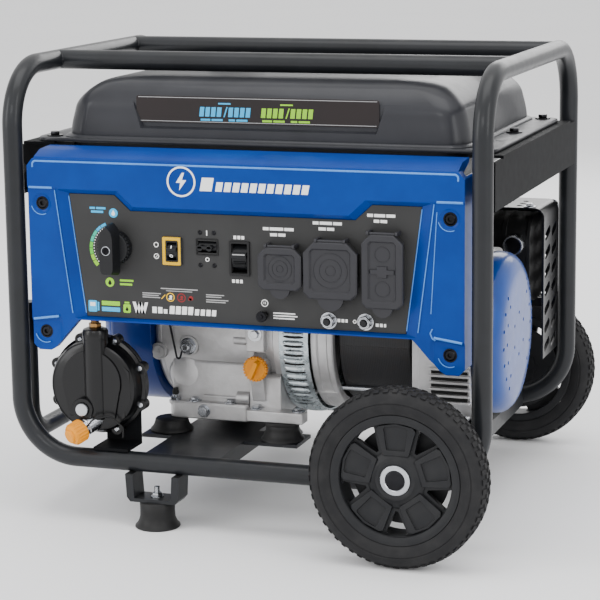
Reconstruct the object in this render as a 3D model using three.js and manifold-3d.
// A wheeled portable generator: a bent tube frame that carries a fuel tank, an engine with its
// alternator, a control panel, a gas regulator, two wheels, two feet and a folding handle.
// Millimetres, +X to the right of the control panel, +Y to the back, +Z up, floor at z = 0.
import * as THREE from "three";
import { mergeVertices } from "three/addons/utils/BufferGeometryUtils.js";
import Module from "manifold-3d";

const wasm = await Module();
wasm.setup();

// Driving dimensions
const GAP = 0.3; // clearance between touching parts
const TUBE_R = 13.75; // frame tube, outer radius
const POST_X = 331.5; // centre lines of the posts
const POST_Y = 264;
const TOP_Z = 631; // centre line of the top tubes
const RAIL_Z = 90; // centre line of the bottom rails
const HOOP_BEND = 82;
const RAIL_BEND = 82;
const SPLICE_Z = 173; // where the hoops meet the bottom rails
const TOP_BAR_Y = { front: -111, rear: 163 };
const WHEEL_R = 119.8;
const WHEEL_X = 240.6;
const WHEEL_FACE_Y = 365; // outer face of each wheel
const TYRE_WIDTH = 49;
const RIM_R = 87;
const AXLE_R = 10;
const FOOT_X = -130;
const FOOT_TOP_Z = 37;
const SHAFT_Z = 245; // crankshaft and rotor axis, along X at y = 0
const PANEL_Y = -270; // front face of the blue housing
const PLATE_Y = -262; // front face of the control plate
const PLATE_THICK = 4;
const BOX_FRONT_Y = PLATE_Y + PLATE_THICK + GAP;
const BOX_BACK_Y = -192;
const FLANGE_Z = 524; // underside of the tank flange
const BRACKET_LOW_Z = 456; // lower edge of the tank's side brackets
const ENGINE_X = { left: -192, split: -46 };
const HANDLE = { y: 237, pivotZ: 288, lowZ: 112, tubeR: 12.5, bend: 42 };
// Half the difference between the right and left overhang, so that x = 0 is the middle of the part
const CENTRE_X = (WHEEL_X + WHEEL_R - POST_X - TUBE_R) / 2;

// Materials
const steel = (color, roughness) => ({ color, roughness, metalness: 0.9 });
const paint = (color, roughness) => ({ color, roughness, metalness: 0.3 });
const plain = (color, roughness) => ({ color, roughness, metalness: 0 });
const LOOK = {
  frame: paint(0x1c1d20, 0.42),
  blue: paint(0x0a4aa6, 0.3),
  plate: plain(0x474747, 0.6),
  black: plain(0x141415, 0.5),
  rubber: plain(0x1b1b1c, 0.85),
  tank: plain(0x3f4044, 0.5),
  cast: steel(0x9a9a98, 0.45),
  zinc: steel(0xc8ccd0, 0.3),
  orange: plain(0xf5a028, 0.45),
  heat: paint(0x101010, 0.55),
};

const group = new THREE.Group();
group.position.x = -CENTRE_X;

function add(name, geometry, look) {
  const mesh = new THREE.Mesh(geometry, new THREE.MeshStandardMaterial(look));
  mesh.name = name;
  group.add(mesh);
  return mesh;
}

// Joins and cuts
function toSolid(geometry) {
  const bare = geometry.clone();
  bare.deleteAttribute("normal");
  bare.deleteAttribute("uv");
  const merged = mergeVertices(bare, 1e-4);
  return new wasm.Manifold(
    new wasm.Mesh({
      numProp: 3,
      vertProperties: new Float32Array(merged.attributes.position.array),
      triVerts: new Uint32Array(merged.index.array),
    }),
  );
}

function toGeometry(solid) {
  const mesh = solid.getMesh();
  const geometry = new THREE.BufferGeometry();
  geometry.setAttribute("position", new THREE.BufferAttribute(mesh.vertProperties, 3));
  geometry.setIndex(new THREE.BufferAttribute(mesh.triVerts, 1));
  geometry.computeVertexNormals();
  return geometry;
}

function join(...geometries) {
  return toGeometry(geometries.map(toSolid).reduce((a, b) => a.add(b)));
}

function cut(base, ...tools) {
  return toGeometry(tools.map(toSolid).reduce((a, b) => a.subtract(b), toSolid(base)));
}

// Basic shapes, each placed by its extents in the part's frame
function slab(x0, x1, y0, y1, z0, z1) {
  const box = new THREE.BoxGeometry(x1 - x0, y1 - y0, z1 - z0);
  return box.translate((x0 + x1) / 2, (y0 + y1) / 2, (z0 + z1) / 2);
}

const TURN = {
  x: new THREE.Matrix4().makeRotationZ(-Math.PI / 2),
  y: new THREE.Matrix4(),
  z: new THREE.Matrix4().makeRotationX(Math.PI / 2),
};

// A round bar along an axis, from start to end, around the centre [a, b] of the other two
function drum(axis, radius, start, end, a, b, sides = 24, endRadius = radius) {
  const bar = new THREE.CylinderGeometry(endRadius, radius, end - start, sides);
  bar.applyMatrix4(TURN[axis]);
  const mid = (start + end) / 2;
  const at = { x: [mid, a, b], y: [a, mid, b], z: [a, b, mid] }[axis];
  return bar.translate(...at);
}

// A turned piece: profile points are [radius, distance along the axis], listed either way round
function turned(axis, profile, a, b, sides = 32) {
  const points = profile.map(([r, t]) => new THREE.Vector2(r, t));
  if (THREE.ShapeUtils.area(points) < 0) points.reverse();
  const lathe = new THREE.LatheGeometry(points, sides);
  lathe.applyMatrix4(TURN[axis]);
  const at = { x: [0, a, b], y: [a, 0, b], z: [a, b, 0] }[axis];
  return lathe.translate(...at);
}

// The section of a ring with inner and outer radii, closed on itself
function ringProfile(inner, outer, start, end) {
  return [
    [inner, start],
    [outer, start],
    [outer, end],
    [inner, end],
    [inner, start],
  ];
}

// An outline in X and Z, made solid from y0 to y1
function wall(points, y0, y1) {
  const shape = new THREE.Shape(points.map(([x, z]) => new THREE.Vector2(x, z)));
  const body = new THREE.ExtrudeGeometry(shape, { depth: y1 - y0, bevelEnabled: false });
  return body.rotateX(Math.PI / 2).translate(0, y1, 0);
}

// An outline in Y and Z, made solid from x0 to x1
function rib(points, x0, x1) {
  const shape = new THREE.Shape(points.map(([y, z]) => new THREE.Vector2(y, z)));
  const body = new THREE.ExtrudeGeometry(shape, { depth: x1 - x0, bevelEnabled: false });
  const place = new THREE.Matrix4().makeBasis(
    new THREE.Vector3(0, 1, 0),
    new THREE.Vector3(0, 0, 1),
    new THREE.Vector3(1, 0, 0),
  );
  return body.applyMatrix4(place).translate(x0, 0, 0);
}

// A rectangle with its four corners cut off
function chamfered(x0, x1, z0, z1, c) {
  return [
    [x0 + c, z0],
    [x1 - c, z0],
    [x1, z0 + c],
    [x1, z1 - c],
    [x1 - c, z1],
    [x0 + c, z1],
    [x0, z1 - c],
    [x0, z0 + c],
  ];
}

// The points of a rectangle with round corners, as [u, v] about its centre
function rounded(halfU, halfV, radius, steps = 4) {
  const corners = [
    [1, 1],
    [-1, 1],
    [-1, -1],
    [1, -1],
  ];
  return corners.flatMap(([su, sv], quarter) =>
    Array.from({ length: steps + 1 }, (_, i) => {
      const angle = ((quarter + i / steps) * Math.PI) / 2;
      return [
        su * (halfU - radius) + radius * Math.cos(angle),
        sv * (halfV - radius) + radius * Math.sin(angle),
      ];
    }),
  );
}

// A closed body through level outlines, each a list of [x, y] with its height z
function loft(levels) {
  const count = levels[0].points.length;
  const position = levels.flatMap(({ points, z }) => points.flatMap(([x, y]) => [x, y, z]));
  const index = [];
  for (let level = 0; level + 1 < levels.length; level++) {
    for (let i = 0; i < count; i++) {
      const a = level * count + i;
      const b = level * count + ((i + 1) % count);
      index.push(a, b, b + count, a, b + count, a + count);
    }
  }
  const last = (levels.length - 1) * count;
  for (let i = 1; i + 1 < count; i++) {
    index.push(0, i + 1, i);
    index.push(last, last + i, last + i + 1);
  }
  const body = new THREE.BufferGeometry();
  body.setAttribute("position", new THREE.Float32BufferAttribute(position, 3));
  body.setIndex(index);
  return body;
}

// A path through corner points with round bends, sampled only where it turns
class BentPath extends THREE.Curve {
  constructor(corners, bend, steps) {
    super();
    this.points = [corners[0]];
    this.tangents = [corners[1].clone().sub(corners[0]).normalize()];
    for (let i = 1; i + 1 < corners.length; i++) this.turn(corners, i, bend, steps);
    const last = corners.length - 1;
    this.points.push(corners[last]);
    this.tangents.push(corners[last].clone().sub(corners[last - 1]).normalize());
  }

  turn(corners, i, bend, steps) {
    const into = corners[i].clone().sub(corners[i - 1]).normalize();
    const out = corners[i + 1].clone().sub(corners[i]).normalize();
    const sweep = into.angleTo(out);
    const start = corners[i].clone().addScaledVector(into, -bend * Math.tan(sweep / 2));
    const side = out.clone().addScaledVector(into, -Math.cos(sweep)).normalize();
    for (let k = 0; k <= steps; k++) {
      const angle = (sweep * k) / steps;
      const point = start.clone().addScaledVector(into, bend * Math.sin(angle));
      this.points.push(point.addScaledVector(side, bend * (1 - Math.cos(angle))));
      const along = into.clone().multiplyScalar(Math.cos(angle));
      this.tangents.push(along.addScaledVector(side, Math.sin(angle)));
    }
  }

  getPointAt(u) {
    return this.points[Math.round(u * (this.points.length - 1))].clone();
  }

  getTangentAt(u) {
    return this.tangents[Math.round(u * (this.points.length - 1))].clone();
  }

  getSpacedPoints() {
    return this.points.map((point) => point.clone());
  }
}

function bentTube(corners, radius, bend, sides = 12, steps = 6) {
  const path = new BentPath(corners.map((c) => new THREE.Vector3(...c)), bend, steps);
  const section = new THREE.Shape();
  for (let i = 0; i < sides; i++) {
    const angle = (2 * Math.PI * i) / sides;
    const go = i ? "lineTo" : "moveTo";
    section[go](radius * Math.cos(angle), radius * Math.sin(angle));
  }
  return new THREE.ExtrudeGeometry(section, {
    steps: path.points.length - 1,
    extrudePath: path,
    bevelEnabled: false,
  });
}

// Frame
function frameTubes() {
  const foot = SPLICE_Z + GAP / 2;
  for (const [side, x] of [["left", -POST_X], ["right", POST_X]]) {
    const hoop = [
      [x, -POST_Y, foot],
      [x, -POST_Y, TOP_Z],
      [x, POST_Y, TOP_Z],
      [x, POST_Y, foot],
    ];
    add("frame_hoop_" + side, bentTube(hoop, TUBE_R, HOOP_BEND), LOOK.frame);
  }
  const top = SPLICE_Z - GAP / 2;
  for (const [side, y] of [["front", -POST_Y], ["rear", POST_Y]]) {
    const rail = [
      [-POST_X, y, top],
      [-POST_X, y, RAIL_Z],
      [POST_X, y, RAIL_Z],
      [POST_X, y, top],
    ];
    add("frame_rail_" + side, bentTube(rail, TUBE_R, RAIL_BEND), LOOK.frame);
  }
  const coped = TUBE_R + GAP;
  for (const [side, y] of Object.entries(TOP_BAR_Y)) {
    const bar = cut(
      drum("x", TUBE_R, -POST_X, POST_X, y, TOP_Z, 16),
      drum("y", coped, y - 40, y + 40, -POST_X, TOP_Z, 16),
      drum("y", coped, y - 40, y + 40, POST_X, TOP_Z, 16),
    );
    add("top_bar_" + side, bar, LOOK.frame);
  }
}

const BEARER_Y = POST_Y - TUBE_R - GAP; // the bearers end at the rails
const BEARER_TOP_Z = 100;
const MOUNT_Y = 130;

// An inverted channel across the frame, between the two rails
function channel(x0, x1, thick, z0, z1) {
  return [
    slab(x0, x1, -BEARER_Y, BEARER_Y, z1 - thick, z1),
    slab(x0, x0 + thick, -BEARER_Y, BEARER_Y, z0, z1),
    slab(x1 - thick, x1, -BEARER_Y, BEARER_Y, z0, z1),
  ];
}

function bearers() {
  const left = channel(-151, -41, 4, 78, BEARER_TOP_Z);
  const wing = { x0: -197, x1: 38, depth: 62, thick: 5 };
  for (const y of [-MOUNT_Y - 26, MOUNT_Y - wing.depth]) {
    left.push(slab(wing.x0, wing.x1, y, y + wing.depth, BEARER_TOP_Z - wing.thick, BEARER_TOP_Z));
  }
  add("engine_bearer", join(...left), LOOK.frame);
  const right = channel(176, 268, 4, 78, BEARER_TOP_Z);
  for (const side of [-1, 1]) {
    const y = side * (BEARER_Y - 12);
    right.push(slab(200, 268, y - 12, y + 12, BEARER_TOP_Z - 6, 136));
  }
  const axleHole = drum("y", AXLE_R + GAP, -BEARER_Y - 5, BEARER_Y + 5, WHEEL_X, WHEEL_R, 20);
  add("axle_bearer", cut(join(...right), axleHole), LOOK.frame);
  add("axle", drum("y", AXLE_R, -359, 359, WHEEL_X, WHEEL_R, 20), LOOK.zinc);
}

function feet() {
  const outer = 40;
  const inner = 34;
  const railUnder = RAIL_Z - TUBE_R - GAP;
  const strap = [
    [-outer, railUnder],
    [-outer + 2, FOOT_TOP_Z + 6],
    [-outer + 7, FOOT_TOP_Z],
    [outer - 7, FOOT_TOP_Z],
    [outer - 2, FOOT_TOP_Z + 6],
    [outer, railUnder],
    [inner - 5, railUnder],
    [inner - 7, FOOT_TOP_Z + 5],
    [-inner + 7, FOOT_TOP_Z + 5],
    [-inner + 5, railUnder],
  ];
  const profile = [
    [0, 0],
    [31, 0],
    [31.5, 3],
    [27, 9],
    [24.5, 16],
    [24.5, FOOT_TOP_Z - GAP],
    [0, FOOT_TOP_Z - GAP],
  ];
  for (const [side, y] of [["front", -POST_Y], ["rear", POST_Y]]) {
    const outline = strap.map(([x, z]) => [FOOT_X + x, z]);
    add("foot_bracket_" + side, wall(outline, y - 18, y + 18), LOOK.frame);
    add("foot_" + side, turned("z", profile, FOOT_X, y, 24), LOOK.rubber);
  }
}

// Wheels
function wheels() {
  const spokes = 5;
  for (const [name, side] of [["front", -1], ["rear", 1]]) {
    const outer = side * WHEEL_FACE_Y;
    const inner = side * (WHEEL_FACE_Y - TYRE_WIDTH);
    const low = Math.min(outer, inner);
    const high = Math.max(outer, inner);
    const shoulder = 7;
    const tyre = [
      [RIM_R + GAP, low + 4],
      [WHEEL_R - 14, low],
      [WHEEL_R - 3, low + shoulder],
      [WHEEL_R, low + 2 * shoulder],
      [WHEEL_R, high - 2 * shoulder],
      [WHEEL_R - 3, high - shoulder],
      [WHEEL_R - 14, high],
      [RIM_R + GAP, high - 4],
      [RIM_R + GAP, low + 4],
    ];
    add("tyre_" + name, turned("y", tyre, WHEEL_X, WHEEL_R, 48), LOOK.rubber);

    const discOuter = outer - side * 15;
    const discInner = outer - side * 24;
    const disc = [Math.min(discOuter, discInner), Math.max(discOuter, discInner)];
    const holes = Array.from({ length: spokes }, (_, i) => {
      const angle = -Math.PI / 2 + (2 * Math.PI * i) / spokes;
      const point = (r, t) => [WHEEL_X + r * Math.cos(angle + t), WHEEL_R + r * Math.sin(angle + t)];
      const wedge = [
        point(44, -0.07),
        point(74, -0.28),
        point(75, 0),
        point(74, 0.28),
        point(44, 0.07),
      ];
      return wall(wedge, low - 5, high + 5);
    });
    const web = cut(turned("y", ringProfile(AXLE_R + 2, 78, ...disc), WHEEL_X, WHEEL_R, 48), ...holes);
    const barrel = turned("y", ringProfile(75, RIM_R, low + 4, high - 2), WHEEL_X, WHEEL_R, 48);
    const hubEnds = [outer - side * 5, inner + side * 6].sort((a, b) => a - b);
    const hub = turned("y", ringProfile(AXLE_R + GAP, 34, ...hubEnds), WHEEL_X, WHEEL_R, 32);
    add("wheel_" + name, join(web, barrel, hub), LOOK.black);
  }
}

// Folding handle, stowed between the left posts
function handle() {
  const { y, pivotZ, lowZ, tubeR, bend } = HANDLE;
  const path = [
    [-POST_X, -y, pivotZ + 14],
    [-POST_X, -y, lowZ],
    [-POST_X, y, lowZ],
    [-POST_X, y, pivotZ + 14],
  ];
  add("handle", bentTube(path, tubeR, bend), LOOK.frame);
}

// Control panel
const PANEL = { x: 309, top: 509, crown: 521, low: 241, bottom: 287, wingInner: 238 };
const PLATE = { top: 461, step: 440, bottom: 292, topX: 250, stepX: 183, midX: 160, lowX: 228 };

function plateOutline(grow) {
  const { top, step, bottom, topX, stepX, midX, lowX } = PLATE;
  const half = [
    [midX - grow * 0.4, step + grow],
    [stepX - grow * 0.4, top + grow],
    [topX + grow, top + grow],
    [lowX + grow, bottom - grow],
  ];
  return [...half.map(([x, z]) => [-x, z]).reverse(), ...half];
}

function panel() {
  const { x, top, crown, low, bottom, wingInner } = PANEL;
  const half = [
    [wingInner, bottom],
    [275, low + 5],
    [283, low],
    [x - 8, low],
    [x, low + 8],
    [x, top - 10],
    [x - 8, top],
  ];
  const outline = [...half, ...half.map(([px, z]) => [-px, z]).reverse()];
  const front = wall(outline, PANEL_Y, PANEL_Y + 16);
  const hood = rib(
    [
      [PANEL_Y + 1, top - 2],
      [PANEL_Y + 16, top - 8],
      [-212, crown - 6],
      [-212, crown],
      [PANEL_Y + 22, crown],
    ],
    -x + 10,
    x - 10,
  );
  const clearance = 1;
  const recess = wall(plateOutline(clearance), PANEL_Y - 2, PANEL_Y + 17);
  const screwHoles = [-289, 289].flatMap((sx) =>
    [267.6, 447].map((sz) => drum("y", 4.2, PANEL_Y - 1, PANEL_Y + 17, sx, sz, 12)),
  );
  add("panel_housing", cut(join(front, hood), recess, ...screwHoles), LOOK.blue);
}

// The receptacles: each has a collar on the plate and a lid in front of it
const OUTLETS = [
  { name: "twist_lock", x0: 29, x1: 90, z0: 345, z1: 402, chamfer: 11, tab: 14 },
  { name: "travel", x0: 92.5, x1: 167, z0: 336, z1: 412, chamfer: 15, tab: 18 },
  { name: "duplex", x0: 173, x1: 229, z0: 327, z1: 425, chamfer: 12, tab: 14 },
];
const COLLAR_Y = -275;
const LID_BACK_Y = COLLAR_Y - GAP;
const LID_FRONT_Y = -281;
const SWITCH = {
  engine: { x0: -106, x1: -92, z: 388, r: 13 },
  breaker: { x0: -62, x1: -36, z: 395.5, r: 8 },
  voltage: { x0: -13, x1: 8, z: 382, r: 20 },
};
const BUTTONS = { left: [122, 304], right: [173, 305] };
const KNOB = { x: -182, z: 390 };

// The pocket that a rocker turns in, through the plate and into the box behind it
function pocket({ x0, x1, z, r }) {
  return slab(x0 - 0.5, x1 + 0.5, PLATE_Y - 6, PLATE_Y + 38, z - r, z + r);
}

function controlPlate() {
  const plate = wall(plateOutline(0), PLATE_Y, PLATE_Y + PLATE_THICK);
  const collars = OUTLETS.map(({ x0, x1, z0, z1, chamfer }) =>
    wall(chamfered(x0 + 2, x1 - 2, z0 + 2, z1 - 2, chamfer - 1), COLLAR_Y, PLATE_Y + 1),
  );
  const nuts = Object.values(BUTTONS).map(([x, z]) => drum("y", 9, PLATE_Y - 8, PLATE_Y + 1, x, z, 6));
  const wells = OUTLETS.map(({ x0, x1, z0, z1, chamfer }) =>
    wall(chamfered(x0 + 7, x1 - 7, z0 + 7, z1 - 7, chamfer - 3), COLLAR_Y - 1, COLLAR_Y + 7),
  );
  const bores = Object.values(BUTTONS).map(([x, z]) =>
    drum("y", 5.3, PLATE_Y - 9, PLATE_Y + PLATE_THICK + 1, x, z, 16),
  );
  const bezel = slab(-112.5, -85.5, PLATE_Y - 3, PLATE_Y + 1, 369.5, 406.5);
  const body = join(plate, bezel, ...collars, ...nuts);
  const pockets = Object.values(SWITCH).map(pocket);
  const knobBore = drum("y", 6.3, PLATE_Y - 1, PLATE_Y + PLATE_THICK + 1, KNOB.x, KNOB.z, 16);
  add("control_plate", cut(body, ...wells, ...bores, ...pockets, knobBore), LOOK.plate);

  const box = slab(-215, 222, BOX_FRONT_Y, BOX_BACK_Y, 300, 436);
  const boxBores = Object.values(BUTTONS).map(([x, z]) =>
    drum("y", 5.6, BOX_FRONT_Y - 1, BOX_FRONT_Y + 8, x, z, 16),
  );
  const spindle = drum("y", 6.6, BOX_FRONT_Y - 1, BOX_FRONT_Y + 14, KNOB.x, KNOB.z, 16);
  const growPocket = Object.values(SWITCH).map((s) => pocket({ ...s, x0: s.x0 - 1, x1: s.x1 + 1 }));
  add("panel_box", cut(box, ...boxBores, ...growPocket, spindle), LOOK.black);
}

function panelControls() {
  const knob = join(
    drum("y", 22, PLATE_Y - 14, PLATE_Y - GAP, KNOB.x, KNOB.z, 32, 23),
    wall(chamfered(KNOB.x - 11, KNOB.x + 11, KNOB.z - 37, KNOB.z + 35, 5), PLATE_Y - 36, PLATE_Y - 8),
    drum("y", 6, PLATE_Y - 9, PLATE_Y + 16, KNOB.x, KNOB.z, 16),
  );
  add("fuel_selector_knob", knob, LOOK.black);

  const { engine, breaker, voltage } = SWITCH;
  const rockers = [
    ["engine_switch_rocker", engine, 7],
    ["voltage_switch_rocker", voltage, 16],
  ];
  for (const [name, s, lift] of rockers) {
    const centreY = PLATE_Y + lift;
    const halfTurn = drum("x", s.r - 1, s.x0, s.x1, centreY, s.z, 32);
    const ridge = slab(s.x0, s.x1, centreY - s.r - 1.5, centreY, s.z - 2, s.z + s.r * 0.45);
    add(name, join(halfTurn, ridge), LOOK.black);
  }
  const lever = (x) => slab(x, x + 8, PLATE_Y - 12, PLATE_Y + 8, breaker.z - 2, breaker.z + 4);
  const toggles = join(
    drum("x", breaker.r - 1, breaker.x0, breaker.x1, PLATE_Y + 7, breaker.z, 24),
    lever(breaker.x0 + 2),
    lever(breaker.x1 - 10),
    slab(breaker.x0 + 2, breaker.x1 - 2, PLATE_Y - 12, PLATE_Y - 8, breaker.z - 2, breaker.z + 4),
  );
  add("main_breaker_toggle", toggles, LOOK.black);

  for (const { name, x0, x1, z0, z1, chamfer, tab } of OUTLETS) {
    const mid = (x0 + x1) / 2;
    const grip = drum("y", tab, LID_FRONT_Y + 1, LID_BACK_Y, mid, z0 + 1, 16);
    const hinge = drum("x", 3, mid - 17, mid + 17, LID_BACK_Y - 3, z1 + 2, 12);
    const lid = wall(chamfered(x0, x1, z0, z1, chamfer), LID_FRONT_Y, LID_BACK_Y);
    add("outlet_lid_" + name, join(lid, grip, hinge), LOOK.rubber);
  }
  for (const [side, [x, z]] of Object.entries(BUTTONS)) {
    add("reset_button_" + side, drum("y", 4.8, PLATE_Y - 12, PLATE_Y + 7, x, z, 16), LOOK.black);
  }
  const ground = join(
    drum("y", 5, PLATE_Y - 6, PLATE_Y - GAP, 32, 307, 6),
    drum("y", 3, PLATE_Y - 20, PLATE_Y - 5, 32, 307, 12),
    drum("y", 7, PLATE_Y - 17, PLATE_Y - 9, 32, 307, 16),
  );
  add("ground_terminal", ground, LOOK.zinc);
}

// Fuel tank
function tank() {
  const level = (halfX, halfY, y, radius, z) => ({
    points: rounded(halfX, halfY, radius).map(([px, py]) => [px, py + y]),
    z,
  });
  const flangeTop = FLANGE_Z + 5;
  const shell = loft([
    level(262, 160, 5, 40, 478),
    level(280, 178, 5, 40, 500),
    level(287, 194, 5, 34, FLANGE_Z + 1),
    level(289, 196, 5, 34, 533),
    level(281, 191, 5, 34, 575),
    level(274, 186, 5, 36, 586),
    level(247, 170, 5, 40, 606),
    level(190, 120, 5, 40, 613),
  ]);
  const flange = loft([
    level(331, 205, 5, 26, FLANGE_Z),
    level(331, 205, 5, 26, flangeTop),
  ]);
  const recess = wall(
    [
      [165, 547],
      [178, 583],
      [172, 594],
      [-183, 594],
      [-188, 588],
      [-170, 547],
    ],
    -200,
    -183,
  );
  const neck = drum("z", 40, 600, 617, -104, 10, 24);
  const gauge = join(drum("z", 24, 600, 616, 84, 10, 24), drum("z", 17, 610, 619, 84, 10, 24));
  add("fuel_tank", join(cut(join(shell, flange), recess), neck, gauge), LOOK.tank);
  const cap = [
    [0, 617 + GAP],
    [39, 617 + GAP],
    [41, 620],
    [41, 628],
    [37, 632],
    [0, 633],
  ];
  add("fuel_cap", turned("z", cap, -104, 10, 24), LOOK.black);

  const wallX = { outer: POST_X + TUBE_R - 1, thick: 4 };
  for (const [name, side] of [["left", -1], ["right", 1]]) {
    const span = (a, b) => [side * a, side * b].sort((p, q) => p - q);
    const sheet = span(wallX.outer - wallX.thick, wallX.outer);
    const plate = slab(...sheet, -BEARER_Y, BEARER_Y, BRACKET_LOW_Z, FLANGE_Z - 4);
    const shelf = slab(...span(298, wallX.outer), -205, 215, FLANGE_Z - 4, FLANGE_Z - GAP);
    const lip = slab(
      ...span(wallX.outer - 18, wallX.outer),
      -BEARER_Y,
      BEARER_Y,
      BRACKET_LOW_Z,
      BRACKET_LOW_Z + 4,
    );
    const fold = slab(...sheet, -205, 215, FLANGE_Z - 5, FLANGE_Z - 3);
    add("tank_bracket_" + name, join(plate, shelf, lip, fold), LOOK.frame);
  }
}

// Engine
const PAN_Z = { top: 142, bottom: 118 };
const BORE_TILT = (25 * Math.PI) / 180;

// Where each part of the alternator starts along the shaft
const ALTERNATOR = { band: 3, frontRing: 46, stator: 80, bellStart: 192 };

function engine() {
  const { left, split } = ENGINE_X;
  const crankcase = join(
    drum("x", 116, left, split, 0, SHAFT_Z, 40),
    slab(left, split, -106, 84, 160, 330),
    slab(-186, split, -112, 106, PAN_Z.bottom + 12, 200),
    slab(-181, split, -122, 114, PAN_Z.bottom, PAN_Z.top),
  );
  add("crankcase", crankcase, LOOK.cast);

  const adaptor = cut(
    join(
      drum("x", 124, split + GAP, ALTERNATOR.band - GAP, 0, SHAFT_Z, 40),
      slab(split + GAP, ALTERNATOR.band - GAP, -118, 110, 128, 190),
      drum("y", 15.5, -131, -100, -29.2, 201, 20),
      slab(-44, 40, -136, -112, 124, 140),
    ),
    drum("x", 20, split, ALTERNATOR.band, 0, SHAFT_Z, 24),
  );
  add("alternator_adaptor", adaptor, LOOK.cast);
  const oilCap = join(
    drum("y", 17, -140, -131 - GAP, -29.2, 201, 10),
    slab(-33.7, -24.7, -150, -139, 186, 216),
  );
  add("oil_filler_cap", oilCap, LOOK.orange);

  // The cylinder leans back from the crankcase, with cooling fins around it
  const along = new THREE.Matrix4().makeRotationX(BORE_TILT);
  along.setPosition(0, 0, SHAFT_Z);
  const tilt = (geometry) => geometry.applyMatrix4(along);
  const finPitch = 15;
  const fins = Array.from({ length: 5 }, (_, i) => {
    const y = 128 + finPitch * i;
    return tilt(slab(-182, -62, y, y + 5, -62, 58));
  });
  const head = join(
    tilt(slab(-170, -74, 122, 216, -50, 46)),
    ...fins,
    tilt(slab(-174, -68, 200, 232, -54, 52)),
    tilt(slab(-160, -82, 231, 248, -44, 42)),
  );
  add("cylinder_head", head, LOOK.cast);

  const intake = join(
    drum("z", 16, 376, 399, -130, 118, 20),
    slab(-205, -62, 96, 232, 398, 462),
    drum("z", 30, 461, 472, -134, 164, 24),
  );
  add("air_filter", intake, LOOK.black);

  const fanBox = cut(
    join(
      drum("x", 126, -258, left - GAP, 0, SHAFT_Z, 40),
      slab(-252, left - GAP, -10, 168, SHAFT_Z + 20, 372),
    ),
    drum("x", 92, -259, -236, 0, SHAFT_Z, 32),
  );
  add("blower_housing", fanBox, LOOK.blue);
  const starter = [
    [0, -236.5],
    [91, -236.5],
    [91, -270],
    [76, -286],
    [46, -290],
    [0, -290],
  ];
  const rope = { x: -296, y: -58, z: SHAFT_Z + 58 };
  const starterCover = join(
    turned("x", starter, 0, SHAFT_Z, 32),
    drum("x", 9, rope.x, -262, rope.y, rope.z, 16),
  );
  add("recoil_starter", starterCover, LOOK.blue);
  const bar = chamfered(rope.y - 36, rope.y + 36, rope.z - 10, rope.z + 10, 6);
  add("starter_grip", rib(bar, rope.x - 16, rope.x - GAP), LOOK.rubber);
}

function exhaust() {
  const pipe = bentTube(
    [
      [-61, 196, 328],
      [40, 196, 328],
      [102, 196, 328],
    ],
    14,
    30,
    16,
    1,
  );
  const box = { x0: 100, x1: 304, y0: 132, y1: 234, z0: 262, z1: 388 };
  const shell = rib(
    rounded((box.y1 - box.y0) / 2, (box.z1 - box.z0) / 2, 36).map(([y, z]) => [
      y + (box.y0 + box.y1) / 2,
      z + (box.z0 + box.z1) / 2,
    ]),
    box.x0,
    box.x1,
  );
  const outlet = drum("y", 15, 112, 140, 282, 350, 16);
  add("muffler", join(shell, pipe, outlet), LOOK.heat);

  const outer = { x0: 84, x1: 322, y0: 124, y1: 244, z0: 176, z1: 402 };
  const t = 3;
  const guard = join(
    slab(outer.x0, outer.x1, outer.y0 + 20, outer.y1, outer.z1 - t, outer.z1),
    slab(outer.x1 - t, outer.x1, outer.y0 + 20, outer.y1, outer.z0, outer.z1),
    slab(outer.x0, outer.x1, outer.y1 - t, outer.y1, outer.z0 + 60, outer.z1),
  );
  const slots = [];
  const rows = 7;
  const slotPitch = 29;
  const slotHeight = 12;
  for (let row = 0; row < rows; row++) {
    const z = outer.z0 + 16 + row * slotPitch;
    for (const y of [152, 196]) {
      slots.push(slab(outer.x1 - 2 * t, outer.x1 + 1, y, y + 36, z, z + slotHeight));
    }
    if (row > 1) {
      for (let column = 0; column < 4; column++) {
        const x = outer.x0 + 16 + column * 54;
        slots.push(slab(x, x + 42, outer.y1 - 2 * t, outer.y1 + 1, z, z + slotHeight));
      }
    }
  }
  add("muffler_guard", cut(guard, ...slots), LOOK.heat);
}

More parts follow.
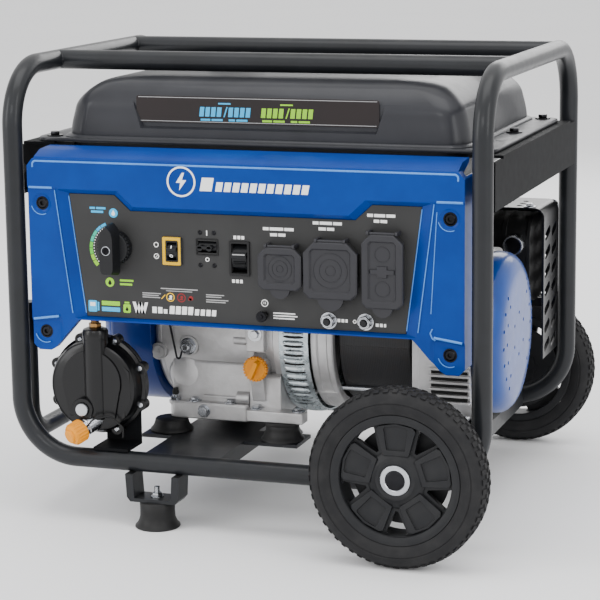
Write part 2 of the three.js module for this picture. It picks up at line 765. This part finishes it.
// Alternator, in line with the engine
function alternator() {
  const ring = (inner, outer, x0, x1) => turned("x", ringProfile(inner, outer, x0, x1), 0, SHAFT_Z, 40);
  const { band, frontRing, stator, bellStart } = ALTERNATOR;
  add("alternator_louvre_band", ring(116, 128, band, frontRing), LOOK.zinc);
  add("alternator_front_ring", ring(108, 121, frontRing + GAP, stator), LOOK.cast);
  add("alternator_stator", ring(66, 106, stator + GAP, bellStart), LOOK.heat);

  const bell = rib(
    rounded(108, 112, 56, 5).map(([y, z]) => [y, z + SHAFT_Z]),
    bellStart + GAP,
    276,
  );
  const legs = [-1, 1].map((side) => {
    const ys = [side * 70, side * 104].sort((a, b) => a - b);
    return slab(bellStart + GAP, 236, ...ys, 134, 200);
  });
  const fins = Array.from({ length: 3 }, (_, i) => slab(220, 276, -114, -90, 182 + 13 * i, 188 + 13 * i));
  const rotorRoom = drum("x", 66, bellStart - 2, 202, 0, SHAFT_Z, 32);
  const shaftBore = drum("x", 20, 201, 277, 0, SHAFT_Z, 24);
  const body = cut(join(bell, ...legs, ...fins), rotorRoom, shaftBore);
  add("alternator_end_bell", body, LOOK.cast);

  const dome = [
    [0, 276 + GAP],
    [112, 276 + GAP],
    [115, 286],
    [114, 300],
    [106, 311],
    [92, 317],
    [60, 319],
    [0, 319],
  ];
  add("alternator_end_cover", turned("x", dome, 0, SHAFT_Z, 40), LOOK.blue);

  const rotor = [
    [0, band + 2],
    [16, band + 2],
    [16, band + 16],
    [100, band + 16],
    [100, band + 32],
    [16, band + 32],
    [16, stator + 4],
    [62, stator + 4],
    [62, bellStart - 4],
    [16, bellStart - 4],
    [16, 270],
    [0, 270],
  ];
  add("rotor", turned("x", rotor, 0, SHAFT_Z, 32), LOOK.zinc);
}

function engineMounts() {
  const profile = (bottom, top) => [
    [0, bottom],
    [31, bottom],
    [30, bottom + 4],
    [24, bottom + 10],
    [24, top],
    [0, top],
  ];
  const stand = BEARER_TOP_Z + GAP;
  const places = [
    ["front_left", -165, -MOUNT_Y + 10, PAN_Z.bottom - GAP],
    ["rear_left", -150, MOUNT_Y - 33, PAN_Z.bottom - GAP],
    ["front_middle", 8, -MOUNT_Y, 124 - GAP],
  ];
  for (const [name, x, y, top] of places) {
    add("mount_" + name, turned("z", profile(stand, top), x, y, 24), LOOK.rubber);
  }
  for (const [name, side] of [["front", -1], ["rear", 1]]) {
    const foot = profile(stand, 134 - GAP);
    add("mount_right_" + name, turned("z", foot, 205, side * 87, 24), LOOK.rubber);
  }
}

// Gas demand regulator, on the front rail
const REGULATOR = { x: -225, z: 190, front: PLATE_Y, back: -225 };
const INLET = new THREE.Vector3(-0.5, -0.8, -0.33).normalize();
const INLET_CAP = new THREE.Vector3(-240, -286, 130);
const PRIMER = { x: -235, z: 161 };

// A round bar about the inlet's axis, from start to end measured from the cap's middle
function alongInlet(radius, start, end, sides) {
  const bar = new THREE.CylinderGeometry(radius, radius, end - start, sides);
  bar.translate(0, (start + end) / 2, 0);
  bar.applyQuaternion(new THREE.Quaternion().setFromUnitVectors(new THREE.Vector3(0, 1, 0), INLET));
  return bar.translate(INLET_CAP.x, INLET_CAP.y, INLET_CAP.z);
}

function regulator() {
  const { x, z, front, back } = REGULATOR;
  const ears = Array.from({ length: 8 }, (_, i) => {
    const angle = ((i + 0.5) * Math.PI) / 4;
    return drum("y", 8, back - 14, back, x + 68 * Math.cos(angle), z + 68 * Math.sin(angle), 12);
  });
  const dish = [
    [0, back],
    [70, back],
    [70, back - 12],
    [66, back - 14],
    [64, front + 8],
    [58, front],
    [0, front],
  ];
  const body = join(
    turned("y", dish, x, z, 40),
    ...ears,
    drum("z", 18, 150, 272, x + 4, front + 8, 24),
    drum("z", 8, 271, 286, x + 4, front + 8, 6),
    drum("y", 16, front - 12, front + 2, PRIMER.x, PRIMER.z, 20),
    alongInlet(12, -50, -12 - GAP, 16),
  );
  const well = drum("y", 10, front - 13, front - 4, PRIMER.x, PRIMER.z, 20);
  add("regulator_body", cut(body, well), LOOK.black);
  add("primer_button", drum("y", 9.5, front - 16, front - 8, PRIMER.x, PRIMER.z, 20), LOOK.zinc);
  const cap = join(alongInlet(15, -12, 9, 12), alongInlet(10, 8, 13, 16));
  add("gas_inlet_cap", cap, LOOK.orange);
  const railTop = RAIL_Z + TUBE_R + GAP;
  const bracket = join(
    slab(x + 4, x + 56, -POST_Y - 8, back + 4, railTop, railTop + 4),
    slab(x + 4, x + 56, back + GAP, back + 4, railTop, z + 20),
  );
  add("regulator_bracket", bracket, LOOK.frame);
}

frameTubes();
bearers();
feet();
wheels();
handle();
panel();
controlPlate();
panelControls();
tank();
engine();
exhaust();
alternator();
engineMounts();
regulator();

export default group;
